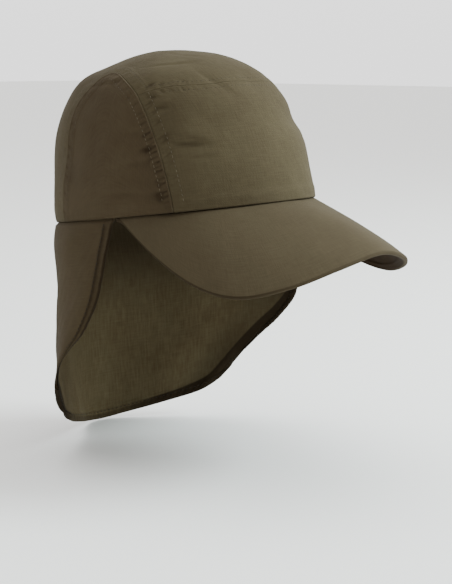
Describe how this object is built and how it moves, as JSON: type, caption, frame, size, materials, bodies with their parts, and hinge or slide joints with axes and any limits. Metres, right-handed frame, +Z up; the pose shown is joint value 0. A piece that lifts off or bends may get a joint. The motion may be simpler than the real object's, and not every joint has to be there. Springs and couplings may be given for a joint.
{
  "type": "legionnaire cap",
  "caption": "Soft brown-olive sun cap with a panelled crown, a wide curved peak and a flap that hangs over the neck and ears.",
  "frame": {"origin": "middle of the head opening at the level of the crown's rim", "axes": "+Z up through the top of the crown, -Y forward along the peak, +X to the wearer's left"},
  "size_m": [0.2213, 0.2763, 0.2897],
  "materials": {
    "crown_cloth": "matt close plain weave, olive brown",
    "peak_cloth": "matt close plain weave over a stiffener, olive brown",
    "flap_cloth": "matt close plain weave, single layer with a turned hem, olive brown"
  },
  "bodies": {
    "root": {"crown_front_panel": "crown_cloth", "crown_top_panel": "crown_cloth", "crown_side_panel_right": "crown_cloth", "crown_side_panel_left": "crown_cloth", "peak": "peak_cloth", "neck_flap": "flap_cloth"}
  },
  "joints": []
}
